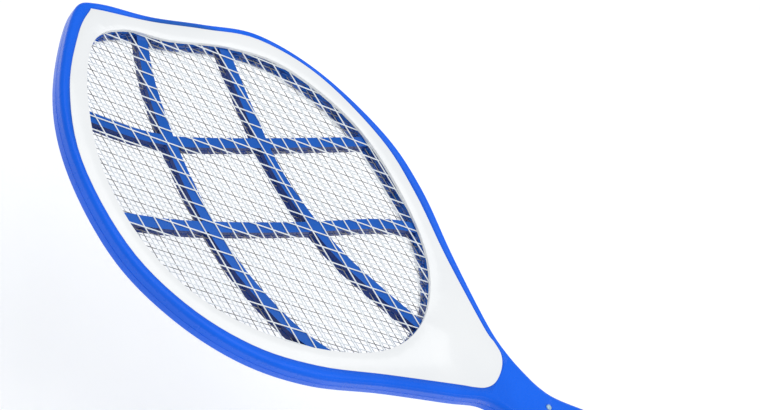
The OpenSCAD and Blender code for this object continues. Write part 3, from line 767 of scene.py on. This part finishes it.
black_moulding, shader, place = new_material("black_nylon")
feed(shader, Base_Color=noise(place, 300, 3).between(0.3, 0.7).blend(
         (0.014, 0.014, 0.016, 1), (0.026, 0.026, 0.028, 1)),
     Roughness=0.42 + 0.12 * noise(place, 1200), Normal=grain(place, 4000, 0.2))
fitted(eased_edges("button_plunger", "switch_plunger", 0.00015), "button_plunger",
       black_moulding, "part_black", "push_button")
fitted(eased_edges("tact_switch", "tact_switch_body", 0.0002), "tact_switch",
       black_moulding, "part_black")

# ---- Slide switch ------------------------------------------------------------------------
# A switch in a folded tin plated steel case on the board, and its black nylon actuator, which
# stands up into a socket under the knob and slides with it.

tin_plate, shader, place = new_material("tin_plated_steel")
streak = place.node("ShaderNodeMapping", None, {"Vector": place, "Scale": (1, 0.08, 1)})
feed(shader, Base_Color=noise(streak, 4000, 3).between(0.3, 0.7).blend(
         (0.52, 0.53, 0.54, 1), (0.7, 0.7, 0.71, 1)),
     Roughness=0.28 + 0.14 * noise(streak, 2600), Metallic=1.0)
fitted(eased_edges("slide_switch", "slide_switch_case", 0.00025), "slide_switch",
       tin_plate, "switch_metal")
fitted(eased_edges("slide_actuator", "switch_actuator", 0.00015), "slide_actuator",
       black_moulding, "part_black", "slide_knob")

# ---- Indicator LED -----------------------------------------------------------------------
# A 3 mm LED in water-clear epoxy, with a round flange at its foot and a domed end under the
# blue lens.

clear_epoxy, shader, place = new_material("clear_epoxy")
feed(shader, Base_Color=noise(place, 500, 2).blend((0.86, 0.88, 0.88, 1), (0.94, 0.95, 0.94, 1)),
     Roughness=0.06 + 0.06 * noise(place, 900), Transmission_Weight=0.5, IOR=1.5)
low, high = (c.z * 1000 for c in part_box("indicator_led"))
turned_piece("led_bulb", [(0, low), (1.5, low), (1.5, low + 0.9), (1.32, low + 1.0),
                          (1.32, high - 1.25), (1.22, high - 0.75), (0.93, high - 0.3),
                          (0.5, high - 0.07), (0, high)],
             "indicator_led", clear_epoxy, "base", "led_white", 32)

# ---- Circuit board -----------------------------------------------------------------------
# Single-sided glass epoxy board under a green solder mask, with the copper tracks showing
# paler through it. It hangs by two screws from bosses in the front shell.

solder_mask, shader, place = new_material("green_solder_mask")
tracks = place.node("ShaderNodeTexWave", {"bands_direction": "X"},
                    {"Vector": place, "Scale": 130.0, "Distortion": 5.0, "Detail": 1.0,
                     "Detail Scale": 0.5}, 1).between(0.6, 0.68)
feed(shader, Base_Color=tracks.blend((0.006, 0.1, 0.035, 1), (0.02, 0.2, 0.06, 1)),
     Roughness=0.25 + 0.1 * noise(place, 600),
     Normal=place.node("ShaderNodeBump", None,
                       {"Strength": 0.5, "Distance": 0.00004, "Height": tracks}))
fitted(eased_edges("circuit_board", "board", 0.0001), "circuit_board", solder_mask, "board_green")

# ---- Transformer -------------------------------------------------------------------------
# The step-up transformer on the back of the board: a grey ferrite core round a bobbin wound
# with fine wire and wrapped in amber polyester tape.

ferrite, shader, place = new_material("ferrite")
feed(shader, Base_Color=noise(place, 1500, 4).between(0.3, 0.7).blend(
         (0.03, 0.03, 0.033, 1), (0.07, 0.07, 0.075, 1)),
     Roughness=0.6 + 0.15 * noise(place, 900), Normal=grain(place, 3500, 0.5))
fitted(eased_edges("transformer_core", "ferrite_core", 0.0003), "transformer_core",
       ferrite, "ferrite")
amber_tape, shader, place = new_material("amber_tape")
turns = place.node("ShaderNodeTexWave", {"bands_direction": "Y"},
                   {"Vector": place, "Scale": 900.0, "Distortion": 0.6}, 1)
feed(shader, Base_Color=turns.blend((0.55, 0.28, 0.02, 1), (0.78, 0.47, 0.05, 1)),
     Roughness=0.3 + 0.15 * noise(place, 700), Coat_Weight=0.3,
     Normal=place.node("ShaderNodeBump", None,
                       {"Strength": 0.6, "Distance": 0.0001, "Height": turns}))
fitted(eased_edges("transformer_coil", "wound_bobbin", 0.0002), "transformer_coil",
       amber_tape, "coil_tape")

# ---- Capacitor, diodes, resistors and transistor -----------------------------------------
# The parts that store and multiply the voltage: a film capacitor dipped in red-brown epoxy,
# four diodes with a silver band, three resistors with colour bands, and a black transistor.

dipped_epoxy, shader, place = new_material("red_brown_epoxy")
feed(shader, Base_Color=noise(place, 260, 3).between(0.3, 0.7).blend(
         (0.25, 0.018, 0.008, 1), (0.4, 0.035, 0.014, 1)),
     Roughness=0.16 + 0.12 * noise(place, 500), Coat_Weight=0.4, Normal=grain(place, 600, 0.3))
fitted(eased_edges("hv_capacitor", "film_capacitor", 0.0011, 4), "hv_capacitor",
       dipped_epoxy, "capacitor_red")


def banded(name, node, body_from, body_to, colours):
    """A part with tinned legs at both ends along Y and stripes of colour between them."""
    material, shader, place = new_material(name)
    low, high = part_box(node)
    along = (place.node("ShaderNodeSeparateXYZ", None, {"Vector": place}, 1)
             - low.y) * (1 / (high.y - low.y))
    tin = (0.6, 0.6, 0.6)
    feed(shader,
         Base_Color=along.node("ShaderNodeValToRGB",
                               {"stops": [(0, tin), *colours, (body_to, tin)]}, {"Fac": along}),
         Metallic=along.node("ShaderNodeValToRGB", {"stops": [
             (0, (1, 1, 1)), (body_from, (0, 0, 0)), (body_to, (1, 1, 1))]}, {"Fac": along}),
         Roughness=0.32 + 0.14 * noise(place, 800))
    return material


black, silver, tan = (0.02, 0.02, 0.022), (0.55, 0.55, 0.56), (0.5, 0.34, 0.18)
diode_finish = banded("banded_black_glass", "diodes", 0.214, 0.786,
                      [(0.214, black), (0.64, silver), (0.72, black)])
resistor_finish = banded("banded_tan_lacquer", "resistors", 0.19, 0.81, [
    (0.19, tan), (0.27, (0.12, 0.04, 0.012)), (0.33, tan), (0.39, black), (0.45, tan),
    (0.51, (0.7, 0.16, 0.01)), (0.57, tan), (0.68, (0.5, 0.33, 0.06)), (0.74, tan)])
fitted(eased_edges("diodes", "banded_diodes", 0.00018), "diodes", diode_finish, "part_black")
fitted(eased_edges("resistors", "banded_resistors", 0.00018), "resistors", resistor_finish,
       "resistor_tan")
fitted(eased_edges("transistor", "drive_transistor", 0.0002), "transistor", black_moulding,
       "part_black")

# ---- Cells and contacts ------------------------------------------------------------------
# Two AA cells side by side, nose to tail, in printed foil sleeves with bare steel ends. Nickel
# plated plates join them, with a conical spring behind each flat end.

nickel, shader, place = new_material("nickel_plate")
feed(shader, Base_Color=noise(place, 700, 3).between(0.3, 0.7).blend(
         (0.55, 0.53, 0.49, 1), (0.72, 0.7, 0.66, 1)),
     Roughness=0.2 + 0.14 * noise(place, 1800), Metallic=1.0)
sleeve, shader, place = new_material("grey_foil_sleeve")
feed(shader, Base_Color=noise(place, 220, 2).between(0.3, 0.7).blend(
         (0.03, 0.034, 0.042, 1), (0.05, 0.055, 0.066, 1)),
     Roughness=0.2 + 0.1 * noise(place, 900), Metallic=0.55, Coat_Weight=0.4)
ring_foil, shader, place = new_material("copper_foil_band")
feed(shader, Base_Color=noise(place, 220, 2).between(0.3, 0.7).blend(
         (0.6, 0.27, 0.1, 1), (0.74, 0.36, 0.15, 1)),
     Roughness=0.2 + 0.1 * noise(place, 900), Metallic=0.8, Coat_Weight=0.4)

cell_places = islands("battery_cells")
cell_length = (cell_places[0][1][1] - cell_places[0][0][1]) * 1000
cell_radius = (cell_places[0][1][0] - cell_places[0][0][0]) * 500
# radius, height and finish from there on: 0 steel, 1 sleeve, 2 copper band
cell_steps = [(0, 0.15, 0), (4.2, 0.15, 0), (4.5, 0, 0), (cell_radius - 1, 0, 0),
              (cell_radius - 0.65, 0.3, 1), (cell_radius - 0.2, 0.5, 1), (cell_radius, 0.85, 1),
              (cell_radius, 35, 2), (cell_radius, cell_length - 2.2, 1),
              (cell_radius - 0.2, cell_length - 1.6, 1),
              (cell_radius - 0.75, cell_length - 1.25, 1), (5.5, cell_length - 1.2, 0),
              (4.2, cell_length - 1.6, 0), (2.9, cell_length - 1.5, 0),
              (2.7, cell_length - 1.2, 0), (2.7, cell_length - 0.3, 0), (2.4, cell_length, 0),
              (0, cell_length, 0)]
cell_points, cell_faces = [], []
round_points, round_faces = turned([s[:2] for s in cell_steps], 48)
for low, high in cell_places:
    nose_up = low[0] + high[0] > 0
    start = len(cell_points)
    for x, y, z in round_points:
        cell_points.append((
            (low[0] + high[0]) / 2 + x / 1000,
            low[1] + z / 1000 if nose_up else high[1] - z / 1000,
            (low[2] + high[2]) / 2 + y / 1000))
    cell_faces += [tuple(start + i for i in f) for f in round_faces]
cells = put("aa_cells", cell_points, cell_faces)
for finish in (nickel, sleeve, ring_foil):
    cells.data.materials.append(finish)
for i, f in enumerate(cells.data.polygons):
    f.material_index = cell_steps[min(i % len(round_faces) // 48, len(cell_steps) - 1)][2]
soft_shading(cells, 35)
stands_for(cells, "battery_cells")

springs = copy_of("contact_springs", "cell_springs")
soft_shading(springs, 70)
fitted(springs, "contact_springs", nickel, "contact_nickel")
fitted(eased_edges("contact_plates", "cell_contact_plates", 0.00012), "contact_plates",
       nickel, "contact_nickel")

# ---- Leads -------------------------------------------------------------------------------
# Stranded copper leads in soft PVC, all inside the shells: red from the cells and to the live
# middle net, black to the two earthed nets.

for name, node, dark, light in (
        ("live_lead", "hv_lead", (0.42, 0.008, 0.006, 1), (0.55, 0.014, 0.01, 1)),
        ("earth_leads", "ground_leads", (0.012, 0.012, 0.013, 1), (0.024, 0.024, 0.026, 1)),
        ("cell_leads", "battery_leads", (0.42, 0.008, 0.006, 1), (0.55, 0.014, 0.01, 1))):
    jacket, shader, place = new_material(name + "_pvc")
    feed(shader, Base_Color=noise(place, 400, 3).between(0.3, 0.7).blend(dark, light),
         Roughness=0.34 + 0.12 * noise(place, 900), Normal=grain(place, 1500, 0.2))
    lead = copy_of(node, name)
    soft_shading(lead, 60)
    fitted(lead, node, jacket, "lead_black" if node == "ground_leads" else "lead_red")
